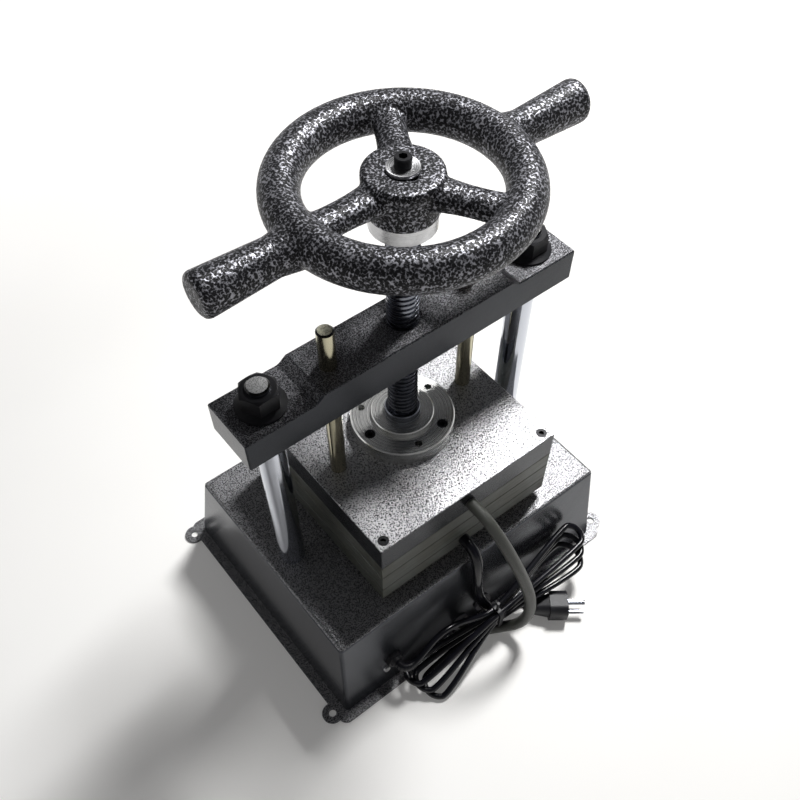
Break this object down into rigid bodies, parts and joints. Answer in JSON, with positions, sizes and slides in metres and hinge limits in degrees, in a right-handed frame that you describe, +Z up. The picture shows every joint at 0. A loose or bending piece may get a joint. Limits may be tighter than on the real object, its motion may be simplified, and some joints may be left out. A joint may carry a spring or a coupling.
{
  "type": "rubber mold vulcanizer",
  "caption": "Hand-wheel screw press with electrically heated upper and lower platens on a box base, for vulcanizing rubber moulds.",
  "frame": {"origin": "on the floor, at the base plate's underside, below the lead screw's axis", "axes": "+Z up along the lead screw, X along the crossbeam, -Y towards the operator's control panel"},
  "size_m": [0.402, 0.3729, 0.5185],
  "materials": {
    "hammered_base": "hammertone enamel",
    "bare_steel": "machined",
    "chrome_column": "ground and plated",
    "hammered_beam": "hammertone enamel",
    "black_oxide": "black oxide",
    "insulation": "asbestos-free fibre board",
    "platen_alloy": "milled, dulled by heat",
    "cover_top": "hammertone enamel",
    "turned_flange": "turned",
    "rod_brass": "ground, heat-tinted",
    "screw_steel": "oiled trapezoidal thread",
    "hammered_wheel": "black and silver hammertone",
    "heater_sheath": "stainless sheath",
    "cord_sleeve": "silicone-coated glass braid",
    "cord_black": "PVC",
    "black_plastic": "moulded",
    "window": "tinted",
    "lamp_red": "translucent",
    "key_rubber": "silicone keys",
    "relay_case": "moulded"
  },
  "bodies": {
    "root": {"base_plate": "hammered_base", "base_housing": "hammered_base", "anchor_plate": "bare_steel", "column_left": "chrome_column", "column_right": "chrome_column", "column_foot_nuts": "black_oxide", "crossbeam": "hammered_beam", "column_nut_left": "black_oxide", "column_nut_right": "black_oxide", "insulation_board": "insulation", "lower_housing_plate": "platen_alloy", "lower_heating_platen": "platen_alloy", "lower_heater": "heater_sheath", "lower_thermocouple": "heater_sheath", "lower_platen_bolts": "black_oxide", "temperature_controller": "black_plastic", "controller_window": "window", "power_switch": "black_plastic", "pilot_lamp": "lamp_red", "heater_relay": "relay_case", "terminal_block": "relay_case", "cord_grommets": "key_rubber", "power_gland": "black_plastic", "earth_screw": "bare_steel", "lower_heater_cord": "cord_sleeve", "power_cord": "cord_black", "power_cord_hank": "cord_black", "power_cord_tail": "cord_black", "cord_tie": "cord_black", "plug_body": "black_plastic", "plug_pins": "bare_steel"},
    "upper_platen": {"pressure_plate": "cover_top", "cover_screws": "black_oxide", "upper_insulation": "insulation", "upper_heating_platen": "platen_alloy", "upper_heater": "heater_sheath", "upper_thermocouple": "heater_sheath", "guide_rod_left": "rod_brass", "guide_rod_right": "rod_brass", "bearing_flange": "turned_flange", "flange_screws": "black_oxide", "thrust_race_lower": "bare_steel", "thrust_ball_cage": "bare_steel", "upper_heater_cord": "cord_sleeve"},
    "screw": {"lead_screw": "screw_steel", "screw_keeper": "bare_steel", "thrust_race_upper": "bare_steel", "hub_key": "bare_steel", "hand_wheel": "hammered_wheel", "handle_left": "hammered_wheel", "handle_right": "hammered_wheel", "hub_washer": "bare_steel", "hub_screw": "black_oxide"},
    "rocker": {"switch_rocker": "black_plastic"},
    "set_key": {"key_set": "key_rubber"},
    "down_key": {"key_down": "key_rubber"},
    "up_key": {"key_up": "key_rubber"}
  },
  "joints": [
    {"name": "platen_lift", "type": "slide", "parent": "root", "child": "upper_platen", "axis": [0, 0, 1], "range_m": [0, 0.065], "deforming": ["upper_heater_cord"]},
    {"name": "wheel_turn", "type": "hinge", "parent": "upper_platen", "child": "screw", "pos_m": [0, 0, 0.495], "axis": [0, 0, 1], "range_deg": [0, 4680]},
    {"name": "rocker_tilt", "type": "hinge", "parent": "root", "child": "rocker", "pos_m": [0.066, -0.14505, 0.05238], "axis": [1, 0, 0], "range_deg": [0, 18]},
    {"name": "set_press", "type": "slide", "parent": "root", "child": "set_key", "axis": [0, 0.973, -0.2309], "range_m": [0, 0.0008], "stiffness_N_per_m": 300},
    {"name": "down_press", "type": "slide", "parent": "root", "child": "down_key", "axis": [0, 0.973, -0.2309], "range_m": [0, 0.0008], "stiffness_N_per_m": 300},
    {"name": "up_press", "type": "slide", "parent": "root", "child": "up_key", "axis": [0, 0.973, -0.2309], "range_m": [0, 0.0008], "stiffness_N_per_m": 300}
  ],
  "couplings": [
    {"joint": "platen_lift", "follows": "wheel_turn", "m_per_rad": 0.00079577}
  ]
}
